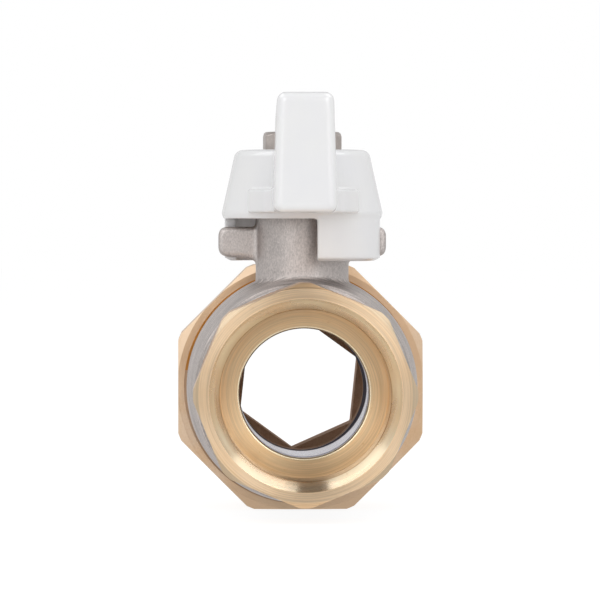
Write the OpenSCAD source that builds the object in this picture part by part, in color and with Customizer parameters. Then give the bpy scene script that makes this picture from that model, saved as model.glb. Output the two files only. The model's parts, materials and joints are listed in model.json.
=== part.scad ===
// Two-way brass ball valve with a union end and a stub lever, shown open.
// The origin is the centre of the inlet face. +Y runs along the flow, +Z runs up the spindle.

/* [Waterway] */
// Diameter of the waterway through the ball and the inlet shoulder
port_d = 23.5; // [21:0.1:25]
// Diameter of the ball
ball_d = 35; // [33:0.1:38]
// Radial gap between the ball and the chamber
chamber_gap = 0.25; // [0.2:0.05:0.4]

/* [Inlet] */
// Minor diameter of the inlet thread, G1
inlet_thread_d = 30.8; // [28:0.1:33]
// Radial width of the chamfer at the mouth of the inlet thread
mouth_chamfer = 1.9; // [1:0.1:2.4]
// Width of the flat ring between the mouth and the flats of the octagon
inlet_land = 1.7; // [0.8:0.1:2.4]
// Radial width left of the face outside the flats, before the turned chamfer
inlet_turned = 0.2; // [0.1:0.1:0.8]
// Radial depth to which the corners of the octagon are turned off
inlet_corner_cut = 0.4; // [0.1:0.05:0.6]
// Length of the inlet octagon
inlet_octagon_len = 16; // [12:0.5:18]
// Depth from the inlet face to its shoulder
inlet_depth = 13.2; // [11:0.1:16]
// Thickness of the wall between the inlet shoulder and the front seat
shoulder_wall = 2; // [1.5:0.1:4]

/* [Chamber] */
// Wall of the body's collar round the chamber
chamber_wall = 3.45; // [3:0.05:4.5]
// Radial bulge of the forged chamber over the collar
chamber_bulge = 0.25; // [0.1:0.05:0.6]
// Radial rise of the forged chamber from its front to the spindle
chamber_rise = 1.6; // [0.5:0.1:2.2]
// Height of the forged chamber's axis above the flow axis
chamber_lift = 0.55; // [0:0.05:0.8]
// Radial width of the rounded ring between the octagon and the chamber
shoulder_w = 1.35; // [0.7:0.05:2]
// Length of that ring
shoulder_len = 2.6; // [1.5:0.1:4]

/* [Seats] */
// Distance from the ball's port edge to the back of a seat
seat_behind = 3.3; // [2.8:0.1:4]
// Distance from the ball's port edge to the lip of a seat
seat_ahead = 2.8; // [2:0.1:3.4]
// Radial step from the chamber in to the rim of a seat
seat_step = 1.5; // [1.2:0.1:2]
// Thickness of a seat's backing ring
seat_oring_t = 1.3; // [1:0.05:1.5]
// Radial step from the chamber out to the retainer's thread
retainer_step = 0.35; // [0.2:0.05:0.5]
// Length of the seat retainer behind the rear seat
retainer_land = 5.7; // [5:0.1:8]
// Thickness of the retainer's sealing ring
retainer_oring_t = 1.2; // [1:0.05:1.4]

/* [Union] */
// Body wall from the retainer's thread to the pitch line of the union thread, G1 1/4
union_wall = 2.115; // [1.8:0.005:2.4]
// Radial gap between the mouth of the union nut and the body
nut_mouth_gap = 0.4; // [0.1:0.05:0.6]
// Radial width of the chamfer at the mouth of the union nut
nut_mouth_chamfer = 0.5; // [0.2:0.05:0.7]
// Wall from the chamfer at the mouth of the union nut to its flats
nut_wall = 0.9; // [0.8:0.05:3]
// Radial depth to which the corners of the union nut are turned off
nut_corner_cut = 0.3; // [0.1:0.05:0.6]
// Length of the union nut over the body's chamber and thread
nut_overlap = 8; // [7:0.1:8.6]
// Thickness of the union nut's rear lip
nut_lip_t = 3.3; // [2.5:0.1:5]
// Thickness of the union gasket
gasket_t = 2; // [1:0.1:3]

/* [Tailpiece] */
// Major diameter of the outlet thread, G1
tail_thread_d = 33.25; // [30:0.05:35]
// Length of the outlet thread
tail_thread_len = 18; // [14:0.5:24]
// Length of the plain neck between the flange and the outlet thread
tail_neck_len = 7; // [6:0.5:12]
// Thickness of the tailpiece flange
tail_flange_t = 4; // [3:0.1:6]
// Wall of the tailpiece at its outlet thread
tail_wall = 4.2; // [3.2:0.1:5]
// Width of the land between the bore and the flats of the key socket
key_land = 1.8; // [1.8:0.05:3]
// Length of the key socket
key_len = 10; // [6:0.5:14]
// Angle of the key socket about the flow axis
key_turn = 24; // [0:1:59]

/* [Neck] */
// Wall of the neck round the stem packing
neck_wall = 2.05; // [1.6:0.05:3]
// Height from the chamber to the ears' top
ears_rise = 9; // [8:0.1:14]
// Height of an ear at its outer end
ears_h = 5.5; // [4:0.1:6]
// Thickness of an ear along the flow
ears_t = 4.4; // [3.6:0.1:6]
// Distance that an ear stands out past the stop skirts
ears_overhang = 0.9; // [0.6:0.1:3]
// Radius of an ear's outer corners
ears_r = 1.3; // [0.6:0.1:1.8]

/* [Stem] */
// Diameter of the stem
stem_d = 10; // [9:0.1:12]
// Radial width of the stem's collar
collar_step = 1.4; // [1:0.1:2]
// Thickness of the stem's collar
collar_t = 2.5; // [2:0.1:2.8]
// Thickness of the tang that drives the ball
tang_t = 4.9; // [4:0.1:6]
// Width of the tang across the flow
tang_w = 11; // [9:0.1:12]
// Depth of the slot in the ball
slot_depth = 3.9; // [3:0.1:4.2]
// Thickness of the thrust washer
thrust_t = 1; // [0.6:0.1:1.2]
// Thickness of a stem sealing ring
stem_oring_t = 1.3; // [1.1:0.05:1.4]
// Diameter of the stem's threaded end, M8
stem_thread_d = 8; // [7:0.1:9]
// Distance that the flats that drive the handle stand out past the thread
drive_step = 0.05; // [0.02:0.01:0.3]
// Length of the stem's thread above the handle nut
stem_end = 1.5; // [0.5:0.1:4]

/* [Packing] */
// Radial width of the stem packing
packing_w = 1.55; // [1.2:0.05:2]
// Height of the stem packing
packing_h = 2.8; // [2:0.1:3.4]
// Length of the gland nut's thread inside the neck
gland_thread_len = 2.4; // [2:0.1:3]
// Height of the gland nut's hexagon
gland_head_h = 2.1; // [1.6:0.1:4]
// Radial step from the gland nut's thread to its flats
gland_step = 0.45; // [0.3:0.05:1]

/* [Handle] */
// Gap between the ears and the hub's lower rim
hub_gap = 1.5; // [0.5:0.1:3]
// Height from the plate that the stem drives to the hub's top
recess_depth = 6; // [4:0.1:8]
// Wall of the hub round the recess for the handle nut
hub_wall = 3.4; // [3:0.1:4.5]
// Radial overhang of the hub's rim over the stop skirts
rim_overhang = 0.3; // [0.1:0.1:1.5]
// Radius of the hub's rounded top edge
hub_round = 1.7; // [1:0.1:2.2]
// Thickness of the plate that the stem drives
plate_t = 3; // [2.4:0.1:5]
// Radial space between the neck and the stop skirts
skirt_space = 3.8; // [3:0.1:5]
// Wall of a stop skirt
skirt_wall = 2.2; // [1.5:0.1:2.6]
// Length of the stop skirts below the hub's rim
skirt_len = 7.8; // [6:0.1:8.4]
// Free play between a stop skirt and an ear
stop_play = 0.3; // [0.2:0.05:0.5]

/* [Lever] */
// Distance from the spindle axis to the lever's tip
lever_reach = 31; // [26:0.5:45]
// Height of the lever at its tip
lever_h = 21.6; // [19:0.1:28]
// Drop of the lever's ridge from its tip to the hub
ridge_drop = 2.6; // [0:0.1:4]
// Width of the lever at its underside
lever_w = 11.4; // [10:0.1:13]
// Width of the lever at its top
lever_top_w = 10.3; // [8:0.1:11]
// Radius of the lever's edges
lever_round = 1.6; // [0.8:0.1:2]
// Height of the foot flange
foot_h = 4.2; // [3:0.1:6]
// Width of the foot flange at its front
foot_w = 15.6; // [14:0.1:18]
// Width of the foot flange where it meets the hub
foot_root_w = 20.4; // [18:0.1:23]
// Length of the foot flange in front of the hub
foot_len = 4.1; // [2:0.1:7]
// Radius of the foot flange's corners
foot_round = 2.4; // [1:0.1:3]

/* [Handle nut] */
// Width across the flats of the handle nut, M8
handle_nut_af = 14; // [12:0.1:15]
// Height of the handle nut
handle_nut_h = 6.7; // [5:0.1:8]
// Radial width of the handle nut's round face inside its flats
handle_nut_turned = 0.3; // [0.1:0.05:0.8]
// Thickness of the plain washer
washer_t = 1.2; // [0.8:0.1:1.6]
// Thickness of the lock washer
lock_washer_t = 1.4; // [1:0.1:2]
// Radial room for a spanner round the handle nut's corners
spanner_room = 1.2; // [1:0.1:3]
// Angle of the handle nut about the spindle
handle_nut_turn = 33; // [0:1:59]

/* [Clearance] */
// Radial clearance of running fits
fit = 0.05; // [0.02:0.01:0.08]

/* [Hidden] */
$fn = 96;
eps = 0.01;
past = 1;

function across_corners(af, sides) = af / cos(180 / sides);

port_r = port_d / 2;
ball_r = ball_d / 2;
port_edge = round(10 * sqrt(ball_r * ball_r - port_r * port_r)) / 10;
chamber_r = ball_r + chamber_gap;
body_r = chamber_r + chamber_wall;
pocket_r = chamber_r - seat_step;
seat_r = pocket_r - fit;
seat_bore_r = port_r + 3 * fit;
seat_back = port_edge + seat_behind;
seat_front = port_edge - seat_ahead;
chamber_front = seat_front + 0.6;
retainer_front = seat_front + 0.8;
retainer_r = chamber_r + retainer_step;

// Distances along the flow to the spindle axis and, from there, to the body's ends.
inlet_len = inlet_depth + shoulder_wall + seat_back;
outlet_len = seat_back + retainer_land;

// Inlet octagon.
inlet_r = inlet_thread_d / 2;
mouth_r = inlet_r + mouth_chamfer;
inlet_af = 2 * (mouth_r + inlet_land);
inlet_corner_d = across_corners(inlet_af, 8) - 2 * inlet_corner_cut;

// Forged body behind the octagon: a ring, then the chamber up to the union nut.
waist_r = inlet_af / 2 - 0.2;
shoulder_r = waist_r + shoulder_w;
forged_r = body_r + chamber_bulge;

// Union thread: the body and the nut run on it with the running fit between them.
union_r = retainer_r + union_wall;
body_thread_r = union_r - fit / 2;
nut_thread_r = union_r + fit / 2;
nut_front = outlet_len - nut_overlap;
body_thread_start = nut_front + 1;
nut_mouth_r = max(body_r, union_r) + nut_mouth_gap;
nut_mouth_len = 1.6;
nut_af = 2 * (nut_mouth_r + nut_mouth_chamfer + nut_wall);
nut_corner_d = across_corners(nut_af, 8) - 2 * nut_corner_cut;
gasket_bore_r = seat_bore_r + 1.65;

// Tailpiece, held by its flange in the union nut.
tail_r = tail_thread_d / 2;
tail_bore_r = tail_r - tail_wall;
tail_neck_r = tail_r - 0.45;
nut_lip_r = tail_r + 0.35;
flange_r = union_r - 0.9;
gasket_r = flange_r - 0.1;
key_af = 2 * (tail_bore_r - key_land);
flange_front = outlet_len + gasket_t;
flange_back = flange_front + tail_flange_t;
lip_front = flange_back + 2 * fit;
nut_back = lip_front + nut_lip_t;
key_start = flange_front + 3.5;
tail_thread_start = flange_back + tail_neck_len;
tail_end = tail_thread_start + tail_thread_len;
tail_chamfer = 1.3;

// Stem, seals and neck, with heights from the flow axis.
stem_r = stem_d / 2;
stem_bore_r = stem_r + fit;
collar_r = stem_r + collar_step;
collar_pocket_r = collar_r + 0.3;
packing_r = stem_r + packing_w;
neck_r = packing_r + neck_wall;
ears_top = body_r + ears_rise;
hub_bottom = ears_top + hub_gap;
neck_top = hub_bottom + 1.1;
tang_bottom = ball_r - slot_depth + 0.2;
collar_bottom = chamber_r + 0.45;
collar_top = collar_bottom + collar_t;
thrust_top = collar_top + thrust_t;
oring_gap = 1;
lower_oring_z = thrust_top + oring_gap + stem_oring_t / 2;
upper_oring_z = lower_oring_z + stem_oring_t + oring_gap;
gland_bottom = neck_top - gland_thread_len;
packing_bottom = gland_bottom - packing_h;
gland_af = 2 * (packing_r + gland_step);

// Handle: hub, recess, skirts and lever, with the washers and the nut on the plate.
plate_bottom = neck_top + gland_head_h + 0.5;
plate_top = plate_bottom + plate_t;
square_top = plate_top - 0.2;
lock_washer_bottom = plate_top + washer_t;
handle_nut_bottom = lock_washer_bottom + lock_washer_t;
thread_r = stem_thread_d / 2;
square_w = stem_thread_d + 2 * drive_step;
stem_top = handle_nut_bottom + handle_nut_h + stem_end;
hub_top = plate_top + recess_depth;
cavity_r = neck_r + skirt_space;
skirt_r = cavity_r + skirt_wall;
skirt_bottom = hub_bottom - skirt_len;
rim_r = skirt_r + rim_overhang;
ears_w = 2 * (skirt_r + ears_overhang);
recess_r = across_corners(handle_nut_af, 6) / 2 + spanner_room;
hub_top_r = recess_r + hub_wall;
lever_bottom = hub_bottom + 1.1;
lever_top = lever_bottom + lever_h;
foot_reach = rim_r + foot_len;
stop_plane = ears_t / 2 + stop_play;

// Points on an arc about centre c, from angle a0 to a1.
function arc(c, r, a0, a1, steps = 6) =
    [for (i = [0:steps]) let (a = a0 + (a1 - a0) * i / steps) c + r * [cos(a), sin(a)]];

// Turns a shape whose own Z is the flow, and puts it at a distance from the spindle axis.
module on_flow(y = 0) {
    translate([0, inlet_len + y, 0]) rotate([-90, 0, 0]) children();
}

module on_spindle(z = 0) {
    translate([0, inlet_len, z]) children();
}

// The profiles below hold [radius, distance along the axis].
module turned(profile) {
    rotate_extrude() polygon(profile);
}

module tube(outer_r, inner_r, h) {
    difference() {
        cylinder(r = outer_r, h = h);
        translate([0, 0, -past]) cylinder(r = inner_r, h = h + 2 * past);
    }
}

module ring(mean_r, section_r) {
    rotate_extrude() translate([mean_r, 0]) circle(r = section_r, $fn = 32);
}

// A prism of regular section with its edges turned down to face_d, 30 degrees off the face.
module turned_prism(af, sides, h, corner_d, face_d, face_top, face_bottom) {
    chamfer = (corner_d - face_d) / 2 * tan(30);
    low = face_bottom ? chamfer : 0;
    high = face_top ? chamfer : 0;
    intersection() {
        rotate(180 / sides) cylinder(d = across_corners(af, sides), h = h, $fn = sides);
        turned([[0, 0], [face_bottom ? face_d / 2 : corner_d / 2, 0], [corner_d / 2, low],
            [corner_d / 2, h - high], [face_top ? face_d / 2 : corner_d / 2, h], [0, h]]);
    }
}

module body_outside() {
    // Inlet octagon, with its points up, down, left and right.
    on_flow(-inlet_len) rotate(22.5) turned_prism(inlet_af, 8, inlet_octagon_len, inlet_corner_d,
        inlet_af + 2 * inlet_turned, false, true);
    // Rounded ring, the core inside the chamber, the collar and the union thread behind it.
    waist = inlet_octagon_len - inlet_len;
    collar_front = nut_front - 1.5;
    undercut_r = body_thread_r - 0.8;
    on_flow() turned(concat([[0, waist - past], [waist_r, waist - past]],
        arc([waist_r, waist + shoulder_w], shoulder_w, -90, 0),
        [[shoulder_r, collar_front], [body_r, collar_front],
            [body_r, body_thread_start], [undercut_r, body_thread_start],
            [undercut_r, body_thread_start + 1], [body_thread_r, body_thread_start + 1.8],
            [body_thread_r, outlet_len - 0.6], [body_thread_r - 0.6, outlet_len],
            [0, outlet_len]]));
    // Forged chamber, which swells to the spindle and ends in front of the nut.
    chamber_start = waist + shoulder_len;
    chamber_end = nut_front - 0.5;
    rear_round = 0.8;
    translate([0, 0, chamber_lift]) on_flow() turned(concat([[0, chamber_start]],
        [for (i = [0:8]) let (share = 1 - i / 8)
            [forged_r - chamber_rise * share * share, chamber_start * share]],
        arc([forged_r - rear_round, chamber_end - rear_round], rear_round, 0, 90),
        [[0, chamber_end]]));
    on_spindle() cylinder(r = neck_r, h = neck_top);
    ears();
}

// Two stop ears: one plate through the spindle axis, with rounded ends and sloping undersides.
module ears() {
    half = ears_w / 2;
    low = ears_top - ears_h;
    root_low = low - 1.2;
    on_spindle() translate([0, ears_t / 2, 0]) rotate([90, 0, 0]) linear_extrude(ears_t)
        polygon(concat([[-neck_r + 1, root_low], [neck_r - 1, root_low], [neck_r + 1.4, low - 0.35]],
            arc([half - ears_r, low + ears_r], ears_r, -90, 0),
            arc([half - ears_r, ears_top - ears_r], ears_r, 0, 90),
            arc([-half + ears_r, ears_top - ears_r], ears_r, 90, 180),
            arc([-half + ears_r, low + ears_r], ears_r, 180, 270),
            [[-neck_r - 1.4, low - 0.35]]));
}

module body_bores() {
    on_flow() turned([[0, -inlet_len - past], [mouth_r + past, -inlet_len - past],
        [mouth_r, -inlet_len], [inlet_r, -inlet_len + mouth_chamfer],
        [inlet_r, -inlet_len + inlet_depth], [port_r, -inlet_len + inlet_depth],
        [port_r, -seat_back], [pocket_r, -seat_back], [pocket_r, -chamber_front],
        [chamber_r, -chamber_front], [chamber_r, retainer_front],
        [retainer_r, retainer_front], [retainer_r, outlet_len + past], [0, outlet_len + past]]);
    on_spindle() turned([[0, 0], [collar_pocket_r, 0], [collar_pocket_r, thrust_top + fit],
        [stem_bore_r, thrust_top + fit], [stem_bore_r, packing_bottom],
        [packing_r, packing_bottom], [packing_r, neck_top - 0.5], [packing_r + 0.5, neck_top],
        [packing_r + 0.5, neck_top + past], [0, neck_top + past]]);
}

module valve_body() {
    color("tan") difference() {
        body_outside();
        body_bores();
    }
}

// A seat that faces -Z, at its distance from the spindle axis.
module seat() {
    rebate = seat_oring_t;
    color("white") difference() {
        turned([[seat_bore_r, seat_front], [seat_r, seat_front], [seat_r, seat_back - rebate],
            [seat_r - rebate, seat_back - rebate], [seat_r - rebate, seat_back],
            [seat_bore_r, seat_back]]);
        sphere(r = ball_r + fit);
    }
}

module seat_oring() {
    color("dimgray") translate([0, 0, seat_back - seat_oring_t / 2])
        ring(seat_r - seat_oring_t / 2, seat_oring_t / 2 - eps);
}

module front_seat() {
    on_flow() mirror([0, 0, 1]) seat();
}

module rear_seat() {
    on_flow() seat();
}

module front_seat_oring() {
    on_flow() mirror([0, 0, 1]) seat_oring();
}

module rear_seat_oring() {
    on_flow() seat_oring();
}

// Threaded ring that closes the chamber, with two slots for a spanner in its outlet face.
module seat_retainer() {
    groove_w = retainer_oring_t + 0.2;
    groove = (seat_back + outlet_len - groove_w) / 2;
    slot_w = 4;
    slot_reach = gasket_bore_r - 0.3;
    slot_deep = 1.6;
    color("darkgoldenrod") on_flow() difference() {
        turned([[seat_bore_r, seat_back], [pocket_r, seat_back], [pocket_r, retainer_front],
            [retainer_r - fit, retainer_front], [retainer_r - fit, groove],
            [retainer_r - retainer_oring_t, groove],
            [retainer_r - retainer_oring_t, groove + groove_w],
            [retainer_r - fit, groove + groove_w], [retainer_r - fit, outlet_len],
            [seat_bore_r, outlet_len]]);
        translate([-slot_reach, -slot_w / 2, outlet_len - slot_deep])
            cube([2 * slot_reach, slot_w, slot_deep + past]);
    }
}

module retainer_oring() {
    color("dimgray") on_flow((seat_back + outlet_len) / 2)
        ring(retainer_r - retainer_oring_t / 2, retainer_oring_t / 2 - eps);
}

module ball() {
    color("lightsteelblue") on_spindle() difference() {
        sphere(r = ball_r);
        rotate([90, 0, 0]) cylinder(r = port_r, h = ball_d + past, center = true);
        slot_w = tang_t + 2 * fit;
        translate([-ball_r, -slot_w / 2, ball_r - slot_depth]) cube([ball_d, slot_w, ball_r]);
    }
}

module stem() {
    groove_r = stem_r - stem_oring_t;
    groove_half = stem_oring_t / 2 + 0.1;
    color("goldenrod") on_spindle() {
        turned([[0, collar_bottom], [collar_r, collar_bottom], [collar_r, collar_top],
            [stem_r, collar_top], [stem_r, lower_oring_z - groove_half],
            [groove_r, lower_oring_z - groove_half], [groove_r, lower_oring_z + groove_half],
            [stem_r, lower_oring_z + groove_half], [stem_r, upper_oring_z - groove_half],
            [groove_r, upper_oring_z - groove_half], [groove_r, upper_oring_z + groove_half],
            [stem_r, upper_oring_z + groove_half], [stem_r, plate_bottom], [0, plate_bottom]]);
        // Tang, its outer corners turned with the collar.
        intersection() {
            translate([-tang_w / 2, -tang_t / 2, tang_bottom])
                cube([tang_w, tang_t, collar_bottom - tang_bottom + eps]);
            cylinder(r = collar_r, h = collar_top);
        }
        // Four flats milled on the stem, which leave its round corners.
        intersection() {
            translate([-square_w / 2, -square_w / 2, plate_bottom - eps])
                cube([square_w, square_w, square_top - plate_bottom + eps]);
            cylinder(r = stem_r, h = square_top);
        }
        turned([[0, square_top - past], [thread_r - fit, square_top - past],
            [thread_r - fit, stem_top - 1], [thread_r - 1, stem_top], [0, stem_top]]);
    }
}

module thrust_washer() {
    color("white") on_spindle(collar_top) tube(collar_r, stem_r, thrust_t);
}

module stem_oring(z) {
    color("dimgray") on_spindle(z) ring(stem_r - stem_oring_t / 2, stem_oring_t / 2 - eps);
}

module lower_stem_oring() {
    stem_oring(lower_oring_z);
}

module upper_stem_oring() {
    stem_oring(upper_oring_z);
}

module stem_packing() {
    color("white") on_spindle(packing_bottom) tube(packing_r, stem_bore_r, packing_h);
}

module gland_nut() {
    corner_d = across_corners(gland_af, 6) + 0.02;
    color("goldenrod") on_spindle() difference() {
        union() {
            translate([0, 0, gland_bottom]) cylinder(r = packing_r, h = gland_thread_len + eps);
            translate([0, 0, neck_top])
                turned_prism(gland_af, 6, gland_head_h, corner_d, gland_af, true, false);
        }
        cylinder(r = stem_bore_r, h = neck_top + gland_head_h + past);
    }
}

// Conical hub, hollow below for the neck and recessed above for the nut.
module hub() {
    round_z = hub_top - hub_round;
    lead = 0.6;
    turned(concat([[cavity_r, hub_bottom], [skirt_r, hub_bottom], [rim_r, hub_bottom + 1],
            [hub_top_r, round_z]],
        arc([hub_top_r - hub_round, round_z], hub_round, 12, 90),
        arc([recess_r + lead, hub_top - lead], lead, 90, 180, 3),
        [[recess_r, plate_top], [0, plate_top], [0, plate_bottom], [cavity_r, plate_bottom]]));
}

// Two quarter skirts under the hub, which stop against the ears.
module skirts() {
    bevel = 1.1;
    reach = rim_r + past;
    for (turn = [0, 180]) rotate(turn) intersection() {
        turned([[cavity_r, skirt_bottom], [skirt_r - bevel, skirt_bottom],
            [skirt_r, skirt_bottom + bevel / 2], [skirt_r, hub_bottom + 0.5],
            [cavity_r, hub_bottom + 0.5]]);
        translate([stop_plane, -reach, 0]) cube([reach, reach - stop_plane, hub_top]);
    }
}

// Stub lever: a rounded, slightly tapered block that runs from the hub towards the inlet.
module lever() {
    r = lever_round;
    low = lever_w / 2 - r;
    high = lever_top_w / 2 - r;
    root_y = -recess_r - 1.3;
    ridge_y = root_y - 2.5;
    hull() for (side = [-1, 1]) {
        translate([side * low, -lever_reach + r, lever_bottom + r]) sphere(r = r, $fn = 32);
        translate([side * low, root_y, lever_bottom]) cylinder(r = r, h = eps, $fn = 32);
        translate([side * high, -lever_reach + r, lever_top - r]) sphere(r = r, $fn = 32);
        translate([side * high, ridge_y, lever_top - ridge_drop - r]) sphere(r = r, $fn = 32);
    }
}

module foot_flange() {
    r = foot_round;
    root_y = -rim_r + 3;
    hull() for (side = [-1, 1]) translate([0, 0, lever_bottom]) {
        translate([side * (foot_w / 2 - r), -foot_reach + r]) cylinder(r = r, h = foot_h, $fn = 32);
        translate([side * (foot_root_w / 2 - r), root_y]) cylinder(r = r, h = foot_h, $fn = 32);
    }
}

module handle() {
    socket_w = square_w + 2 * fit;
    color("whitesmoke") on_spindle() difference() {
        union() {
            hub();
            skirts();
            difference() {
                union() {
                    lever();
                    foot_flange();
                }
                cylinder(r = cavity_r, h = plate_bottom);
                translate([0, 0, plate_top]) cylinder(r = recess_r, h = lever_top);
            }
        }
        translate([-socket_w / 2, -socket_w / 2, plate_bottom - past])
            cube([socket_w, socket_w, plate_t + 2 * past]);
    }
}

module handle_washer() {
    color("silver") on_spindle(plate_top) tube(handle_nut_af / 2 + 1.5, thread_r + 0.2, washer_t);
}

module lock_washer() {
    slit = 1.5;
    color("silver") on_spindle(lock_washer_bottom) difference() {
        tube(handle_nut_af / 2, thread_r + 0.1, lock_washer_t);
        rotate(-65) translate([0, -slit / 2, -past]) cube([handle_nut_af, slit, lock_washer_t + 2 * past]);
    }
}

module handle_nut() {
    corner_d = across_corners(handle_nut_af, 6) + 0.02;
    face_d = handle_nut_af - 2 * handle_nut_turned;
    color("silver") on_spindle(handle_nut_bottom) difference() {
        rotate(handle_nut_turn - 30)
            turned_prism(handle_nut_af, 6, handle_nut_h, corner_d, face_d, true, true);
        translate([0, 0, -past]) cylinder(r = thread_r, h = handle_nut_h + 2 * past);
    }
}

module union_nut() {
    h = nut_back - nut_front;
    color("goldenrod") on_flow(nut_front) difference() {
        turned_prism(nut_af, 8, h, nut_corner_d, nut_af + 0.2, true, true);
        turned([[0, -past], [nut_mouth_r + nut_mouth_chamfer + past, -past],
            [nut_mouth_r, nut_mouth_chamfer], [nut_mouth_r, nut_mouth_len],
            [nut_thread_r, nut_mouth_len + nut_mouth_r - nut_thread_r],
            [nut_thread_r, lip_front - nut_front], [nut_lip_r, lip_front - nut_front],
            [nut_lip_r, h + past], [0, h + past]]);
    }
}

module union_tailpiece() {
    color("goldenrod") on_flow() difference() {
        turned([[0, flange_front], [flange_r, flange_front], [flange_r, flange_back],
            [tail_neck_r, flange_back], [tail_neck_r, tail_thread_start],
            [tail_r, tail_thread_start + 0.45], [tail_r, tail_end - tail_chamfer],
            [tail_r - tail_chamfer, tail_end], [0, tail_end]]);
        translate([0, 0, flange_front - past]) cylinder(r = tail_bore_r, h = key_start - flange_front + past);
        rotate(-key_turn) translate([0, 0, key_start - eps])
            cylinder(d = across_corners(key_af, 6), h = key_len + 2 * eps, $fn = 6);
        translate([0, 0, key_start + key_len]) cylinder(r = tail_bore_r, h = tail_end);
    }
}

module union_gasket() {
    color("dimgray") on_flow(outlet_len) tube(gasket_r, gasket_bore_r, gasket_t);
}

valve_body();
front_seat();
rear_seat();
front_seat_oring();
rear_seat_oring();
seat_retainer();
retainer_oring();
ball();
stem();
thrust_washer();
lower_stem_oring();
upper_stem_oring();
stem_packing();
gland_nut();
handle();
handle_washer();
lock_washer();
handle_nut();
union_nut();
union_tailpiece();
union_gasket();
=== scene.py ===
"""Studio view of a two-way brass ball valve with a union end and a white stub lever, shown open.

Shapes are worked out in millimetres in the frame of the CAD model, and become metres when a piece is
finished. +Y is the flow, +Z the spindle, and the origin the centre of the inlet face.
"""

import json
import math

import bmesh
import bpy
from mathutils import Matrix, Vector

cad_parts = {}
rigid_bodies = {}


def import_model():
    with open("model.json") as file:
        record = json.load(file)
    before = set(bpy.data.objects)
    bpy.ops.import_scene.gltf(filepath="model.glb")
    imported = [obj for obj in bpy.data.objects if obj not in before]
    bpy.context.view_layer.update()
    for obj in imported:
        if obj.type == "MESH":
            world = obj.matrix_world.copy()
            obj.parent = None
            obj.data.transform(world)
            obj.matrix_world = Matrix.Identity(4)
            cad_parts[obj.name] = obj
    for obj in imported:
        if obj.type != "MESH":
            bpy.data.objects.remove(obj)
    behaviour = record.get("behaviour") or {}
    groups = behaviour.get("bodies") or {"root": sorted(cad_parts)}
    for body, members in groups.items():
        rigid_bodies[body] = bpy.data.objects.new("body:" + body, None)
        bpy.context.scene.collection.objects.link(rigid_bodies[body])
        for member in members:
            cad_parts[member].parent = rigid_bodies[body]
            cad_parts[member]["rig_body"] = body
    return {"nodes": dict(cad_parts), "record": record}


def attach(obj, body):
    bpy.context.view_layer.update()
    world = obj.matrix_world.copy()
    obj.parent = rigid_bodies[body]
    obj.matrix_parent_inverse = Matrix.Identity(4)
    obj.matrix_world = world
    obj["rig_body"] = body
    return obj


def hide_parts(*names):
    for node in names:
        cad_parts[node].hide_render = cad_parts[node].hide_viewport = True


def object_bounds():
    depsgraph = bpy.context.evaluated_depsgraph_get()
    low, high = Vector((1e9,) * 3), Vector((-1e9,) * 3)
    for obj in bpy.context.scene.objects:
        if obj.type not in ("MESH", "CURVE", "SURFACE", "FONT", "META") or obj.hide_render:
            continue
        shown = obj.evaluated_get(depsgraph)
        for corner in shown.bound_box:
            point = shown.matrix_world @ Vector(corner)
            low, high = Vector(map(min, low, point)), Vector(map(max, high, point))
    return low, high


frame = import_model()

CAD_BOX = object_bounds()
nodes = frame["nodes"]
mounts = {mount["name"]: mount for mount in frame["record"]["mounts"]}

# Units and directions. A point on the valve is in mm, and MM turns it into metres.
MM = 0.001
FLOW = Vector((0, 1, 0))
UP = Vector((0, 0, 1))
TURN = 2 * math.pi

# Places and sizes in mm that the frame gives: the spindle, the top of its neck, the inlet and the tail
_, SPINDLE_Y, NECK_TOP = (round(c / MM, 4) for c in mounts["actuator_neck"]["pos_m"])
SPINDLE = (0, SPINDLE_Y, 0)
INLET_R = mounts["inlet_thread"]["dims"]["r_mm"]
TAIL_END = round(CAD_BOX[1][1] / MM, 3)

# Sizes in mm that several pieces and finishes share, as in the CAD model
MOUTH_R = 17.3
TURNED_R = 19.2
INLET_DEPTH = 13.2
PORT_R = 11.75
SEAT_FRONT = 15.2
RETAINER_R = 18.1
OCTAGON_LEN = 16
UNION_FRONT = 46.5
BODY_END = 53.5
NUT_FRONT = 45.5
NUT_CORNER_R = 23.2

# Pitches of the G1 and G1 1/4 pipe threads and of the M8 thread, in mm
PIPE_PITCH = 2.309
STEM_PITCH = 1.25

# Flats that make up a full turn on turned work
LATHE_STEPS = 192


# Shapes

def arc(centre, radius, start, end, steps):
    """Points on an arc, with its angles in degrees."""
    angles = [math.radians(start + (end - start) * k / steps) for k in range(steps + 1)]
    return [(centre[0] + radius * math.cos(a), centre[1] + radius * math.sin(a)) for a in angles]


def lathe(profile, axis=FLOW, centre=(0, 0, 0)):
    """A turned solid or ring from (radius, distance along the axis) points, in mm."""
    bm = bmesh.new()
    side, start = Vector((1, 0, 0)), Vector(centre)
    verts = [bm.verts.new(start + side * r + axis * d) for r, d in profile]
    ends_on_axis = profile[0][0] == 0 and profile[-1][0] == 0
    pairs = list(zip(verts, verts[1:])) + ([] if ends_on_axis else [(verts[-1], verts[0])])
    edges = [bm.edges.new(pair) for pair in pairs]
    bmesh.ops.spin(bm, geom=verts + edges, cent=start, axis=axis, angle=TURN, steps=LATHE_STEPS,
                   use_merge=True, use_duplicate=False)
    bmesh.ops.remove_doubles(bm, verts=bm.verts, dist=1e-4)
    bmesh.ops.recalc_face_normals(bm, faces=bm.faces)
    return bm


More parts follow.
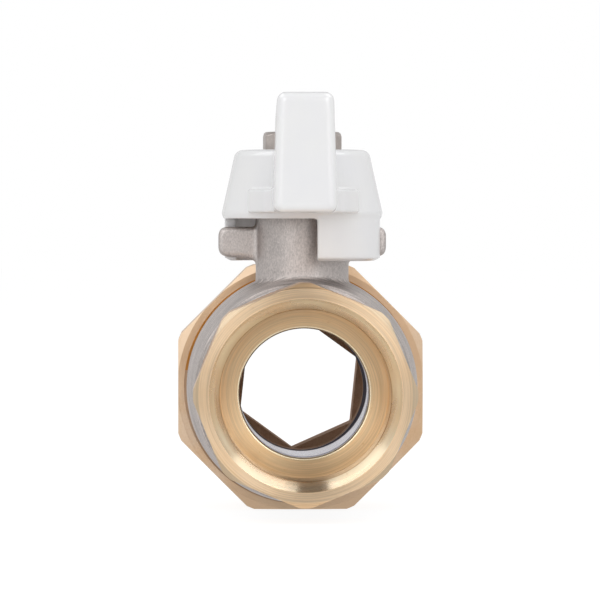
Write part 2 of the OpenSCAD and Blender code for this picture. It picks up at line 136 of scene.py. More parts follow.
def thread_bar(root, tip, pitch, start, end, axis=FLOW, centre=(0, 0, 0), steps=72):
    """A right-hand helical bar. root and tip are (radius, width) of its two sides, in mm."""
    bm = bmesh.new()
    side, middle = Vector((1, 0, 0)), Vector(centre) + axis * start
    verts = [bm.verts.new(middle + side * r + axis * w) for r, w in (
        (root[0], -root[1] / 2), (tip[0], -tip[1] / 2), (tip[0], tip[1] / 2), (root[0], root[1] / 2))]
    face = bm.faces.new(verts)
    turns = (end - start) / pitch
    bmesh.ops.spin(bm, geom=[face] + face.edges[:] + verts, cent=centre, axis=axis,
                   dvec=axis * (pitch / steps), angle=TURN * turns, steps=round(turns * steps),
                   use_merge=False, use_duplicate=False)
    bmesh.ops.remove_doubles(bm, verts=bm.verts, dist=1e-5)
    bmesh.ops.recalc_face_normals(bm, faces=bm.faces)
    return bm


def plate(outline, front, back, rounding):
    """An upright plate across the flow from (x, z) points, with its edges rounded, in mm."""
    bm = bmesh.new()
    face = bm.faces.new([bm.verts.new((x, front, z)) for x, z in outline])
    grown = bmesh.ops.extrude_face_region(bm, geom=[face])
    moved = [g for g in grown["geom"] if isinstance(g, bmesh.types.BMVert)]
    bmesh.ops.translate(bm, verts=moved, vec=(0, back - front, 0))
    bmesh.ops.recalc_face_normals(bm, faces=bm.faces)
    rim = [e for e in bm.edges if abs(e.verts[0].co.y - e.verts[1].co.y) < 1e-6]
    bmesh.ops.bevel(bm, geom=rim, offset=rounding, offset_type="OFFSET", segments=3, profile=0.5,
                    affect="EDGES", material=-1, clamp_overlap=True)
    return bm


def work_object(bm, name="work"):
    """A scratch object in mm that modifiers can run on."""
    mesh = bpy.data.meshes.new(name)
    bm.to_mesh(mesh)
    bm.free()
    obj = bpy.data.objects.new(name, mesh)
    bpy.context.scene.collection.objects.link(obj)
    return obj


def joined(*parts):
    """Closed shells kept in one bmesh."""
    mesh = bpy.data.meshes.new("joined")
    whole = bmesh.new()
    for part in parts:
        part.to_mesh(mesh)
        part.free()
        whole.from_mesh(mesh)
    bpy.data.meshes.remove(mesh)
    return whole


def cad_copy(name):
    """A merged copy of a CAD node, in mm."""
    bm = bmesh.new()
    bm.from_mesh(nodes[name].data)
    bmesh.ops.scale(bm, vec=(1 / MM,) * 3, verts=bm.verts)
    bmesh.ops.remove_doubles(bm, verts=bm.verts, dist=1e-4)
    bmesh.ops.dissolve_degenerate(bm, edges=bm.edges, dist=1e-5)
    return bm


def apply_modifiers(obj):
    """Bakes an object's modifiers into its mesh."""
    graph = bpy.context.evaluated_depsgraph_get()
    graph.update()
    mesh = bpy.data.meshes.new_from_object(obj.evaluated_get(graph))
    old = obj.data
    obj.modifiers.clear()
    obj.data = mesh
    bpy.data.meshes.remove(old)


def forge(bm, voxel, passes):
    """Fuses closed shells into one solid with the soft edges of a forging or a moulding."""
    obj = work_object(bm)
    remesh = obj.modifiers.new("remesh", "REMESH")
    remesh.mode = "VOXEL"
    remesh.voxel_size = voxel
    remesh.adaptivity = 0
    smooth = obj.modifiers.new("smooth", "SMOOTH")
    smooth.factor = 0.5
    smooth.iterations = passes
    obj.modifiers.new("thin", "DECIMATE").ratio = 0.5
    apply_modifiers(obj)
    return obj


def cut(obj, *cutters):
    """Machines each cutter out of a scratch object."""
    for bm in cutters:
        tool = work_object(bm, "tool")
        step = obj.modifiers.new("cut", "BOOLEAN")
        step.operation = "DIFFERENCE"
        step.solver = "MANIFOLD"
        step.object = tool
        apply_modifiers(obj)
        bpy.data.objects.remove(tool)


def deburr(obj, width, least_angle=28):
    """Breaks the sharp edges of a machined scratch object."""
    bm = bmesh.new()
    bm.from_mesh(obj.data)
    bmesh.ops.dissolve_limit(bm, angle_limit=math.radians(0.4), verts=bm.verts, edges=bm.edges)
    sharp = [e for e in bm.edges if len(e.link_faces) == 2
             and e.calc_face_angle(0) > math.radians(least_angle)]
    bmesh.ops.bevel(bm, geom=sharp, offset=width, offset_type="OFFSET", segments=2, profile=0.5,
                    affect="EDGES", material=-1, clamp_overlap=True)
    bm.to_mesh(obj.data)
    bm.free()


def finish_piece(obj, name, node, materials, choose=None, sharp_angle=30):
    """Turns a scratch object in mm into the piece that stands for a CAD node.

    choose, where it is given, picks one of the materials from a face's centre in mm and its normal.
    """
    bm = bmesh.new()
    bm.from_mesh(obj.data)
    bmesh.ops.triangulate(bm, faces=[f for f in bm.faces if len(f.verts) > 4])
    index = {material.name: k for k, material in enumerate(materials)}
    for face in bm.faces:
        face.smooth = True
        finish = choose(face.calc_center_median(), face.normal) if choose else materials[0]
        face.material_index = index[finish.name]
    bmesh.ops.scale(bm, vec=(MM,) * 3, verts=bm.verts)
    obj.data.materials.clear()
    for material in materials:
        obj.data.materials.append(material)
    bm.to_mesh(obj.data)
    bm.free()
    obj.data.set_sharp_from_angle(angle=math.radians(sharp_angle))
    obj.name = obj.data.name = name
    cad = nodes[node]
    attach(obj, cad["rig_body"])
    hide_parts(node)


# Materials

class Nodes:
    """Adds shader nodes to one material and links them."""

    def __init__(self, tree):
        self.tree = tree

    def add(self, kind, inputs=None, **settings):
        node = self.tree.nodes.new("ShaderNode" + kind)
        for key, value in settings.items():
            setattr(node, key, value)
        for key, value in (inputs or {}).items():
            self.put(node.inputs[key], value)
        return node

    def put(self, socket, value):
        if isinstance(value, bpy.types.NodeSocket):
            self.tree.links.new(value, socket)
        elif isinstance(value, bpy.types.Node):
            self.tree.links.new(value.outputs[0], socket)
        else:
            socket.default_value = value

    def math(self, operation, a, b=0.0, clamp=False):
        return self.add("Math", {0: a, 1: b}, operation=operation, use_clamp=clamp)

    def times(self, first, *others):
        """The product of two or more values."""
        for other in others:
            first = self.math("MULTIPLY", first, other)
        return first

    def plus(self, first, *others):
        """The sum of two or more values."""
        for other in others:
            first = self.math("ADD", first, other)
        return first

    def vector_math(self, operation, a, b=(0, 0, 0)):
        return self.add("VectorMath", {0: a, 1: b}, operation=operation)

    def axes(self, vector):
        """The x, y and z of a vector."""
        return self.add("SeparateXYZ", {"Vector": vector}).outputs[:]

    def noise(self, vector, scale, detail=2.0, roughness=0.5):
        return self.add("TexNoise", {"Vector": vector, "Scale": scale, "Detail": detail,
                                     "Roughness": roughness})

    def span(self, value, low, high, to_low=0.0, to_high=1.0):
        """Maps low..high to to_low..to_high, smoothly and clamped."""
        return self.add("MapRange", {"Value": value, "From Min": low, "From Max": high,
                                     "To Min": to_low, "To Max": to_high}, interpolation_type="SMOOTHSTEP")

    def line(self, value, middle, full, faded):
        """1 where the value is within full of the middle, and 0 past faded."""
        off = self.math("ABSOLUTE", self.math("SUBTRACT", value, middle))
        return self.span(off, faded, full)

    def mix(self, factor, a, b, blend="MIX"):
        node = self.add("Mix", data_type="RGBA", blend_type=blend)
        self.put(node.inputs["Factor"], factor)
        self.put(node.inputs["A"], a)
        self.put(node.inputs["B"], b)
        return node.outputs["Result"]

    def painted_tone(self, factor, tint, scales):
        """The tint with its channels scaled where the factor is 1, for painted light and shade."""
        return self.mix(factor, tint, self.mix(1.0, tint, scales, "MULTIPLY"))

    def bump(self, height, strength, depth):
        """A surface normal from heights, with the depth in mm."""
        return self.add("Bump", {"Height": height, "Strength": strength, "Distance": depth * MM})


def rgba(color):
    return (*color, 1.0)


def toned(color, *scales):
    """The color scaled by one factor or by one for each channel, and 1 at most."""
    scales = scales * 3 if len(scales) == 1 else scales
    return rgba([min(1, c * s) for c, s in zip(color, scales)])


def new_material(name, **principled):
    """A material, its nodes, its shader and the place on the valve in mm."""
    material = bpy.data.materials.new(name)
    material.use_nodes = True
    tree = material.node_tree
    tree.nodes.clear()
    n = Nodes(tree)
    bsdf = n.add("BsdfPrincipled")
    for key, value in principled.items():
        bsdf.inputs[key.replace("_", " ")].default_value = value
    n.add("OutputMaterial", {"Surface": bsdf})
    place = n.vector_math("MULTIPLY", n.add("TexCoord").outputs["Object"], (1 / MM,) * 3)
    return material, n, bsdf, place


def round_flow(n, place):
    """The distance from the flow axis in mm and the direction away from it."""
    across = n.vector_math("MULTIPLY", place, (1, 0, 1))
    return n.vector_math("LENGTH", across).outputs["Value"], n.vector_math("NORMALIZE", across)


def across_marks(n, outward):
    """The direction on the surface that crosses the tool marks."""
    marks_run = n.add("VectorTransform", {"Vector": n.vector_math("CROSS_PRODUCT", (0, 1, 0), outward)},
                      vector_type="VECTOR", convert_from="OBJECT", convert_to="WORLD")
    return n.vector_math("CROSS_PRODUCT", n.add("NewGeometry").outputs["Normal"], marks_run)


def tool_marks(n, radius, along, outward, pitch, spread):
    """Fine lines round the axis, their pitch in mm, broken up a little along their length."""
    path = n.plus(n.times(radius, 1 / pitch), n.times(along, 0.83 / pitch))
    turned = n.vector_math("SCALE", outward)
    turned.inputs["Scale"].default_value = spread
    x, _, z = n.axes(turned)
    where = n.add("CombineXYZ", {"X": path, "Y": x, "Z": z})
    return n.noise(where, 1.0, 1.5, 0.45)


def inlet_painted_light(n, tint, color, place, radius):
    """Painted light in the inlet: painted shade deep in it, at its bottom and on the start of its thread,
    painted light and shade round the turned corner, and a painted highlight on the edge of its mouth.
    """
    x, along, z = n.axes(place)
    in_front = n.span(along, 3.5, 2.5, 0, 0.6)
    # Painted shade: a dark line on the crest where the thread starts behind the mouth.
    crest = n.times(n.line(radius, INLET_R + 0.05, 0.06, 0.16), in_front)
    tint = n.mix(crest, tint, toned(color, 0.55, 0.42, 0.28))
    # Painted shade: the inside of the inlet a little darker and warmer.
    inside = n.span(radius, INLET_R + 0.4, INLET_R - 0.4)
    tint = n.painted_tone(inside, tint, rgba((0.99, 0.95, 0.87)))
    # Painted shade on the lower half of the mouth.
    mouth = n.times(n.span(radius, INLET_R - 0.3, INLET_R), n.span(radius, MOUTH_R + 0.2, MOUTH_R))
    tint = n.painted_tone(n.times(mouth, n.span(z, -9, -3)), tint, rgba((1.0, 0.91, 0.8)))
    # Deeper painted shade at the bottom of the inlet.
    tint = n.painted_tone(n.times(inside, n.span(z, -5, -12.5)), tint, rgba((0.85, 0.83, 0.80)))
    # Painted light and shade on the turned corner: lighter near the top and bottom, darker at the sides.
    beside = n.span(n.math("ABSOLUTE", x), 3, 9)
    shine = n.mix(beside, rgba((1.16, 1.08, 0.98)), rgba((0.84, 0.89, 0.94)))
    tint = n.painted_tone(n.span(radius, TURNED_R - 0.1, TURNED_R + 0.1), tint, shine)
    # Painted highlight on the edge of the mouth.
    edge = n.times(n.line(radius, MOUTH_R + 0.05, 0.08, 0.18), in_front, 0.8)
    return n.mix(edge, tint, toned(color, 1.2, 1.15, 1.15))


def turned_brass(name, color, roughness, anisotropic):
    """Bare brass as it leaves the lathe: fine and coarse marks, scores, clouds and dark specks, with painted
    light and shade in the inlet.
    """
    material, n, bsdf, place = new_material(name, Metallic=1.0, Anisotropic=anisotropic)
    along = n.axes(place)[1]
    radius, outward = round_flow(n, place)
    fine = tool_marks(n, radius, along, outward, 0.22, 1.3)
    coarse = tool_marks(n, radius, along, outward, 0.7, 0.9)
    scores = tool_marks(n, radius, along, outward, 0.16, 0.7)
    cloud = n.noise(place, 0.13, 3.0)
    specks = n.noise(place, 0.9, 3.0, 0.6)
    tint = n.mix(n.span(fine, 0.34, 0.66), toned(color, 0.88), toned(color, 1.08))
    tint = n.mix(n.span(coarse, 0.55, 0.75, 0, 0.35), tint, toned(color, 0.9, 0.82, 0.7))
    tint = n.mix(n.span(cloud, 0.42, 0.72, 0, 0.35), tint, toned(color, 0.97, 0.88, 0.76))
    tint = n.mix(n.span(specks, 0.66, 0.74, 0, 0.4), tint, toned(color, 0.75, 0.62, 0.45))
    tint = n.mix(n.span(scores, 0.64, 0.74, 0, 0.45), tint, toned(color, 0.72, 0.6, 0.42))
    # The inlet's painted light and shade go over the marks.
    n.put(bsdf.inputs["Base Color"], inlet_painted_light(n, tint, color, place, radius))
    n.put(bsdf.inputs["Roughness"], n.span(fine, 0.3, 0.7, roughness - 0.05, roughness + 0.07))
    n.put(bsdf.inputs["Tangent"], across_marks(n, outward))
    n.put(bsdf.inputs["Normal"], n.bump(n.plus(fine, n.times(coarse, 1.6)), 0.25, 0.03))
    return material


def satin_brass(name, color, roughness):
    """Hot-pressed brass with satin flats, turned on its faces, with a painted highlight on the upper left of
    the nut's face, painted shade on that face inside its turned corners, and painted shade towards the
    bottom.
    """
    material, n, bsdf, place = new_material(name, Metallic=1.0)
    x, along, z = n.axes(place)
    radius, outward = round_flow(n, place)
    marks = tool_marks(n, radius, along, outward, 0.28, 0.8)
    facing = n.axes(n.add("TexCoord").outputs["Normal"])[1]
    on_face = n.span(n.math("ABSOLUTE", facing), 0.3, 0.7)
    grain = n.noise(place, 3, 2.0, 0.6)
    cloud = n.noise(place, 0.16, 4.0, 0.55)
    tint = n.mix(n.span(cloud, 0.35, 0.7), toned(color, 1.03), toned(color, 0.95, 0.87, 0.76))
    tint = n.mix(n.span(grain, 0.35, 0.75, 0, 0.3), tint, toned(color, 0.85, 0.75, 0.6))

    # Painted highlight on the upper left of the nut's front, and painted shade on its upper face inside the
    # turned corners.
    front_top = n.times(n.span(z, -2, 6), n.span(along, NUT_FRONT + 1.3, NUT_FRONT + 0.9))
    left = n.times(front_top, n.span(x, 6, -6))
    tint = n.mix(left, tint, toned(color, 1.2, 1.2, 1.18))
    corners = n.times(front_top, n.span(radius, NUT_CORNER_R, NUT_CORNER_R - 0.1))
    tint = n.mix(corners, tint, toned(color, 0.91, 0.83, 0.73))
    # Painted shade towards the bottom.
    tint = n.mix(n.span(z, -16, -20.5, 0, 0.8), tint, toned(color, 0.84, 0.81, 0.76))

    n.put(bsdf.inputs["Base Color"], tint)
    n.put(bsdf.inputs["Roughness"], n.plus(n.span(cloud, 0.3, 0.7, roughness - 0.03, roughness + 0.05),
                                           n.span(grain, 0.3, 0.7, -0.03, 0.03)))
    n.put(bsdf.inputs["Normal"], n.bump(n.plus(n.times(grain, 0.7), n.times(marks, on_face)), 0.5, 0.03))
    return material


def blasted_nickel(name, color, brass):
    """Nickel-grey forging: blasted grain, streaks round the chamber, edges rubbed towards brass, and painted
    shade in its creases.
    """
    material, n, bsdf, place = new_material(name, Metallic=1.0)
    x, along, z = n.axes(place)
    radius, outward = round_flow(n, place)
    grain = n.noise(n.vector_math("MULTIPLY", place, (1, 1, 0.5)), 4.2, 3.0, 0.65)
    pits = n.noise(place, 1.3, 2.0, 0.5)
    cloud = n.noise(place, 0.19, 4.0, 0.55)
    streaks = tool_marks(n, radius, along, outward, 0.36, 2.0)
    on_chamber = n.span(n.math("SUBTRACT", radius, n.times(along, 0.18)), 17.1, 16.8)
    seam = n.times(n.span(n.math("ABSOLUTE", x), 0.34, 0.1), n.span(z, 20.5, 22.5))
    tint = n.mix(n.span(cloud, 0.3, 0.7), toned(color, 0.93), toned(color, 1.06))
    tint = n.mix(n.span(grain, 0.54, 0.36, 0, 0.6), tint, toned(color, 0.74))
    tint = n.mix(n.span(grain, 0.5, 0.68, 0, 0.6), tint, toned(color, 1.24))
    tint = n.mix(n.span(pits, 0.58, 0.8, 0, 0.5), tint, toned(color, 0.5))
    tint = n.mix(n.times(n.span(streaks, 0.5, 0.64, 0, 0.5), on_chamber), tint, toned(color, 1.45))
    tint = n.mix(n.times(n.span(streaks, 0.5, 0.36, 0, 0.5), on_chamber), tint, toned(color, 0.55))
    curve = n.add("NewGeometry").outputs["Pointiness"]
    tint = n.mix(n.span(curve, 0.54, 0.62, 0, 0.75), tint, rgba(brass))
    # Painted shade in the creases.
    tint = n.mix(n.span(curve, 0.47, 0.42, 0, 0.75), tint, toned(color, 0.4))
    tint = n.mix(n.times(seam, 0.3), tint, toned(color, 1.25))
    n.put(bsdf.inputs["Base Color"], tint)
    n.put(bsdf.inputs["Roughness"], n.plus(n.span(cloud, 0.3, 0.7, 0.42, 0.52), n.times(on_chamber, 0.14)))
    bumps = n.plus(n.times(grain, 0.6), n.times(pits, 0.7), n.times(streaks, on_chamber, 0.9))
    n.put(bsdf.inputs["Normal"], n.bump(bumps, 0.42, 0.1))
    return material


def moulded_plastic(name, color):
    """Glossy injection-moulded plastic with a trace of orange peel."""
    material, n, bsdf, place = new_material(name, IOR=1.49, Coat_Weight=1.0, Coat_Roughness=0.14,
                                            Coat_IOR=1.5)
    peel = n.noise(place, 0.42, 2.0)
    fine = n.noise(place, 4.2, 1.0)
    cloud = n.noise(place, 0.09, 2.0)
    n.put(bsdf.inputs["Base Color"], n.mix(n.span(cloud, 0.35, 0.65), rgba(color),
                                           toned(color, 0.985, 0.985, 1)))
    n.put(bsdf.inputs["Roughness"], n.span(fine, 0.3, 0.7, 0.28, 0.32))
    n.put(bsdf.inputs["Normal"], n.bump(peel, 0.1, 0.04))
    return material


def plated_steel(name, color):
    """Dull plated steel with faint handling marks."""
    material, n, bsdf, place = new_material(name, Metallic=1.0)
    cloud = n.noise(place, 0.5, 4.0, 0.6)
    fine = n.noise(place, 7, 2.0)
    n.put(bsdf.inputs["Base Color"], n.mix(n.span(cloud, 0.35, 0.65), toned(color, 0.86), toned(color, 1.07)))
    n.put(bsdf.inputs["Roughness"], n.span(fine, 0.3, 0.7, 0.357, 0.483))
    n.put(bsdf.inputs["Normal"], n.bump(fine, 0.3, 0.01))
    return material


def chromed_ball(name, color, shadow):
    """Polished chrome, darker deep in the bore."""
    material, n, bsdf, place = new_material(name, Metallic=1.0)
    _, along, z = n.axes(place)
    radius, _ = round_flow(n, place)
    cloud = n.noise(place, 0.3, 4.0, 0.6)
    deep = n.span(n.plus(along, n.times(z, 1.2)), 24.5, 27.5)
    shade = n.times(deep, n.span(radius, PORT_R + 0.85, PORT_R + 0.35))
    tint = n.mix(n.span(cloud, 0.35, 0.65), toned(color, 0.97), toned(color, 1.02))
    n.put(bsdf.inputs["Base Color"], n.mix(shade, tint, rgba(shadow)))
    n.put(bsdf.inputs["Roughness"], n.math("ADD", n.span(cloud, 0.3, 0.7, 0.21, 0.29),
                                           n.times(shade, 0.7), True))
    return material


def soft_solid(name, color, roughness, scale, depth, contrast=0.12):
    """PTFE, rubber or pressed fibre, with its clouds per mm and the depth of its grain in mm."""
    material, n, bsdf, place = new_material(name)
    cloud = n.noise(place, scale, 4.0, 0.6)
    fine = n.noise(place, scale * 8, 2.0)
    n.put(bsdf.inputs["Base Color"], n.mix(n.span(cloud, 0.35, 0.65), toned(color, 1 - contrast),
                                           toned(color, 1 + contrast)))
    n.put(bsdf.inputs["Roughness"], n.span(fine, 0.3, 0.7, roughness - 0.05, roughness + 0.05))
    n.put(bsdf.inputs["Normal"], n.bump(fine, 0.5, depth))
    return material


lathe_brass = turned_brass("lathe_brass", (0.80, 0.60, 0.40), 0.36, 0.85)
# A lighter copy of the lathe brass for the mouth's chamfer, with its own roughness: painted light.
lit_mouth_brass = turned_brass("lit_mouth_brass", (1.0, 0.83, 0.62), 0.27, 0.8)
# A slightly lighter copy of the lathe brass for the shoulder deep in the inlet: painted light.
lit_shoulder_brass = turned_brass("lit_shoulder_brass", (0.85, 0.65, 0.43), 0.42, 0.72)
nut_brass = satin_brass("nut_brass", (0.81, 0.61, 0.44), 0.36)
# A saturated orange copy of the nut's brass for the upper half of its mouth: a painted reflection in the
# shaded gap.
painted_lip_reflection = satin_brass("painted_lip_reflection", (0.84, 0.44, 0.14), 0.40)
# A darker copy of the nut's brass, with a rougher finish, for the tail's bore and the seat retainer: painted
# shade.
shaded_socket_brass = satin_brass("shaded_socket_brass", (0.62, 0.43, 0.30), 0.70)
# A pale copy of the brass for the port's lip and wall: a painted highlight.
lit_port_lip = turned_brass("lit_port_lip", (1.0, 0.88, 0.70), 0.25, 0.1)
inner_brass = turned_brass("inner_brass", (0.74, 0.52, 0.29), 0.30, 0.3)
nickel = blasted_nickel("blasted_nickel", (0.565, 0.52, 0.50), (0.62, 0.51, 0.40))
white_plastic = moulded_plastic("white_plastic", (0.87, 0.87, 0.872))
chrome = chromed_ball("chromed_ball", (0.84, 0.84, 0.93), (0.15, 0.15, 0.20))
steel = plated_steel("plated_steel", (0.52, 0.47, 0.44))
ptfe = soft_solid("ptfe", (0.84, 0.84, 0.88), 0.5, 0.7, 0.01, 0.03)
rubber = soft_solid("black_rubber", (0.03, 0.03, 0.03), 0.55, 0.9, 0.02)
fibre = soft_solid("gasket_fibre", (0.12, 0.2, 0.14), 0.75, 1.5, 0.04, 0.3)


# Pieces

def octagon_outline():
    """The inlet's octagon, with a corner up and the corners turned off round."""
    corner_r, half_turned = 20.165, 2.93
    angles = [math.radians(45 * k + off) for k in range(8) for off in (-half_turned, -1, 1, half_turned)]
    return [(corner_r * math.cos(a), corner_r * math.sin(a)) for a in angles]


def ears_outline():
    """Both ears in one strip through the neck, with their outer corners eased, from the lower left."""
    right = [(7.6, 23.5), (10.0, 24.35), (14.2, 24.7), (15.1, 25.1), (15.5, 26.0), (15.5, 28.9),
             (15.1, 29.8), (14.2, 30.2)]
    left = [(-x, z) for x, z in reversed(right)]
    return left[-1:] + right + left[:-1]


def body_blank():
    """The forging before machining: octagon, ring, ball chamber, collar, neck and ears."""
    ring_r, ring_w = 18.8, 1.35
    collar_r, collar_front, collar_back, rear_r, rear_end = 21.2, 44, 47.4, 20.6, 55
    ring = arc((ring_r, OCTAGON_LEN + ring_w), ring_w, -90, 0, 6)
    core = [(0, 12)] + ring + [(ring_r + ring_w, collar_front), (collar_r, collar_front),
                               (collar_r, collar_back), (rear_r, rear_end), (0, rear_end)]
    chamber_r, drop, front_len, lift = 21.4, 2.15, 12.9, 0.35
    front = [(chamber_r - drop * t ** 1.4, SPINDLE_Y - front_len * t)
             for t in (1, 0.875, 0.75, 0.625, 0.5, 0.375, 0.25, 0.12, 0)]
    chamber = [(0, SPINDLE_Y - front_len)] + front + [(chamber_r, 44.3), (21.2, 44.8), (20.65, 45), (0, 45)]
    neck_r, neck_foot, neck_blank_top, ears_t = 8.6, 10, 34, 4.4
    return joined(
        plate(octagon_outline(), -1, OCTAGON_LEN + 0.2, rounding=0.25),
        lathe(core),
        lathe(chamber, centre=(0, 0, lift)),
        lathe([(0, neck_foot), (neck_r, neck_foot), (neck_r, neck_blank_top), (0, neck_blank_top)],
              UP, SPINDLE),
        plate(ears_outline(), SPINDLE_Y - ears_t / 2, SPINDLE_Y + ears_t / 2, rounding=0.5))


def waterway_cutter():
    """What is turned out between the mouth of the inlet and the end of the body."""
    seat_r, seat_back, chamber_r, retainer_front, past_end = 16.25, 20.7, 17.75, 42.5, 57
    mouth = [(19.3, -2), (17.42, -0.12), (MOUTH_R, 0.02), (16.6, 0.66), (16.0, 1.24), (INLET_R, 1.9)]
    lip = [(12.15, INLET_DEPTH), (11.97, 13.24), (11.85, 13.34), (11.77, 13.5), (PORT_R, 13.7)]
    return lathe([(0, -2)] + mouth + [(INLET_R, INLET_DEPTH)] + lip + [
        (PORT_R, SEAT_FRONT), (seat_r, SEAT_FRONT), (seat_r, seat_back), (chamber_r, seat_back),
        (chamber_r, retainer_front), (RETAINER_R, retainer_front), (RETAINER_R, past_end), (0, past_end)])


def spindle_bore_cutter():
    """What is bored out of the neck: the collar's pocket, the stem's bore and the packing's seat."""
    pocket_r, pocket_top, bore_r, packing_r, packing_bottom = 6.7, 21.75, 5.05, 6.55, 27.6
    rim, clear_r, past_top = 0.5, 12, 36
    return lathe([(0, 0), (pocket_r, 0), (pocket_r, pocket_top), (bore_r, pocket_top),
                  (bore_r, packing_bottom), (packing_r, packing_bottom), (packing_r, NECK_TOP - rim),
                  (packing_r + rim, NECK_TOP), (clear_r, NECK_TOP), (clear_r, past_top), (0, past_top)],
                 UP, SPINDLE)


def inlet_face_cutter():
    """What is faced off in front of the inlet, and its corners turned off with it."""
    turned_off, chamfer, clear_r, before = 22, 1.617, 26, -3
    return lathe([(0, 0), (TURNED_R, 0), (turned_off, chamfer), (clear_r, chamfer), (clear_r, before),
                  (0, before)])


def union_cutters():
    """What is turned off round the union end, with its relief and chamfer, and behind it."""
    union_r, union_end_r, chamfer, past_end, clear_r = 20.19, 19.6, 0.6, 57, 23
    relief_r, relief_end, union_start = 19.39, 47.5, 48.3
    round_it = lathe([(union_end_r, past_end), (union_end_r, BODY_END), (union_r, BODY_END - chamfer),
                      (union_r, union_start), (relief_r, relief_end), (relief_r, UNION_FRONT),
                      (clear_r, UNION_FRONT), (clear_r, past_end)])
    behind_it = lathe([(0, BODY_END), (clear_r, BODY_END), (clear_r, past_end + 1), (0, past_end + 1)])
    return round_it, behind_it


def body_casting():
    """Forged body, machined at the inlet, in the bores and on the union thread."""
    casting = forge(body_blank(), voxel=0.34, passes=5)
    inlet_thread = thread_bar((INLET_R - 0.2, 1.78), (INLET_R + 1.22, 0.3), PIPE_PITCH, 2.9, 11.6)
    union_thread = thread_bar((20.4, 2.0), (19.4, 0.8), PIPE_PITCH, 47.9, 55.5)
    cut(casting, inlet_face_cutter(), waterway_cutter(), spindle_bore_cutter(), *union_cutters(),
        inlet_thread, union_thread)

    def machined(centre, normal):
        from_flow = math.hypot(centre.x, centre.z)
        from_spindle = math.hypot(centre.x, centre.y - SPINDLE_Y)
        at_inlet = centre.y < OCTAGON_LEN - 0.3
        if at_inlet and from_flow > MOUTH_R + 0.7 and abs(normal.y) < 0.3:
            return nut_brass
        # Lighter copies of the brass for the mouth, the port's lip and the shoulder: painted light.
        if centre.y < 2.6 and INLET_R - 0.1 < from_flow < MOUTH_R + 0.2 and -0.9 < normal.y < -0.1:
            return lit_mouth_brass
        if INLET_DEPTH + 0.01 < centre.y < SEAT_FRONT + 0.1 and from_flow < PORT_R + 0.45:
            return lit_port_lip
        if 11 < centre.y < 15 and from_flow < INLET_R + 0.2:
            return lit_shoulder_brass
        in_bores = from_flow < RETAINER_R + 0.25 or (from_spindle < 7.1 and centre.z > 0)
        at_ends = at_inlet or centre.y > UNION_FRONT - 0.05 or centre.z > NECK_TOP - 0.05
        return lathe_brass if in_bores or at_ends else nickel

    finish_piece(casting, "body_casting", "valve_body",
                 [nickel, lathe_brass, lit_mouth_brass, nut_brass, lit_shoulder_brass, lit_port_lip], machined,
                 sharp_angle=26)


def union_nut():
    """Coupling nut with its mouth drawn in to the chamber, and its thread cut."""
    mouth_r, rim_r = 21.35, 21.95
    bm = cad_copy("union_nut")
    for vert in bm.verts:
        from_flow = math.hypot(vert.co.x, vert.co.z)
        if from_flow < 22.2 and vert.co.y < NUT_FRONT + 0.6:
            at_mouth = from_flow < 21.8
            drawn_in = (mouth_r if at_mouth else rim_r) / from_flow
            vert.co.x *= drawn_in
            vert.co.z *= drawn_in
            vert.co.y = NUT_FRONT + 0.25 if at_mouth else vert.co.y
    nut = work_object(bm)
    cut(nut, thread_bar((20.1, 1.5), (20.95, 0.6), PIPE_PITCH, 46.0, 57.0))
    deburr(nut, width=0.06, least_angle=35)

    def lipped(centre, normal):
        on_lip = centre.y < NUT_FRONT + 1.1 and math.hypot(centre.x, centre.z) < rim_r + 0.02
        # The painted orange reflection goes on the upper half of the mouth only.
        return painted_lip_reflection if on_lip and centre.z > 3.5 else nut_brass

    finish_piece(nut, "coupling_nut", "union_nut", [nut_brass, painted_lip_reflection], lipped, sharp_angle=12)


def tailpiece():
    """Tail with its thread cut and its bore opened behind the key socket."""
    socket_end, bore_r, past_end = 69, 12.95, 88
    tail = work_object(cad_copy("union_tailpiece"))
    cut(tail, thread_bar((16.9, 2.12), (15.2, 0.35), PIPE_PITCH, 66.2, past_end),
        lathe([(0, socket_end), (bore_r - 0.45, socket_end), (bore_r, socket_end + 9),
               (bore_r, past_end), (0, past_end)]))
    deburr(tail, width=0.08)

    def shaded_in_bore(centre, normal):
        # The tail's bore gets the darker copy of the brass: painted shade.
        in_bore = math.hypot(centre.x, centre.z) < 14 and 58.5 < centre.y < TAIL_END - 0.5
        return shaded_socket_brass if in_bore else nut_brass

    finish_piece(tail, "threaded_tail", "union_tailpiece", [nut_brass, shaded_socket_brass], shaded_in_bore)


def spindle_stem():
    """Stem with the thread for the lever's nut."""
    stem = work_object(cad_copy("stem"))
    cut(stem, thread_bar((4.1, 1.08), (3.3, 0.16), STEM_PITCH, 46.2, 52.0, UP, SPINDLE, steps=48))
    finish_piece(stem, "spindle_stem", "stem", [inner_brass])


def lever_handle():
    """White lever with the soft edges of a moulding."""
    handle = forge(cad_copy("handle"), voxel=0.26, passes=6)
    finish_piece(handle, "stub_lever", "handle", [white_plastic], sharp_angle=60)


def lever_nut():
    """Hexagon nut with its edges broken."""
    nut = work_object(cad_copy("handle_nut"))
    deburr(nut, width=0.16)
    finish_piece(nut, "lever_nut", "handle_nut", [steel])


body_casting()
union_nut()
tailpiece()
spindle_stem()
lever_handle()
lever_nut()

for node_name, finish in {
        "front_seat": ptfe, "rear_seat": ptfe, "stem_packing": ptfe, "thrust_washer": ptfe,
        "front_seat_oring": rubber, "rear_seat_oring": rubber, "retainer_oring": rubber,
        "lower_stem_oring": rubber, "upper_stem_oring": rubber, "ball": chrome,
        # Painted shade: the seat retainer takes the darker brass of the tail's bore.
        "seat_retainer": shaded_socket_brass, "gland_nut": inner_brass, "union_gasket": fibre,
        "handle_washer": steel, "lock_washer": steel}.items():
    for holder in nodes[node_name].material_slots:
        holder.material = finish


# Studio

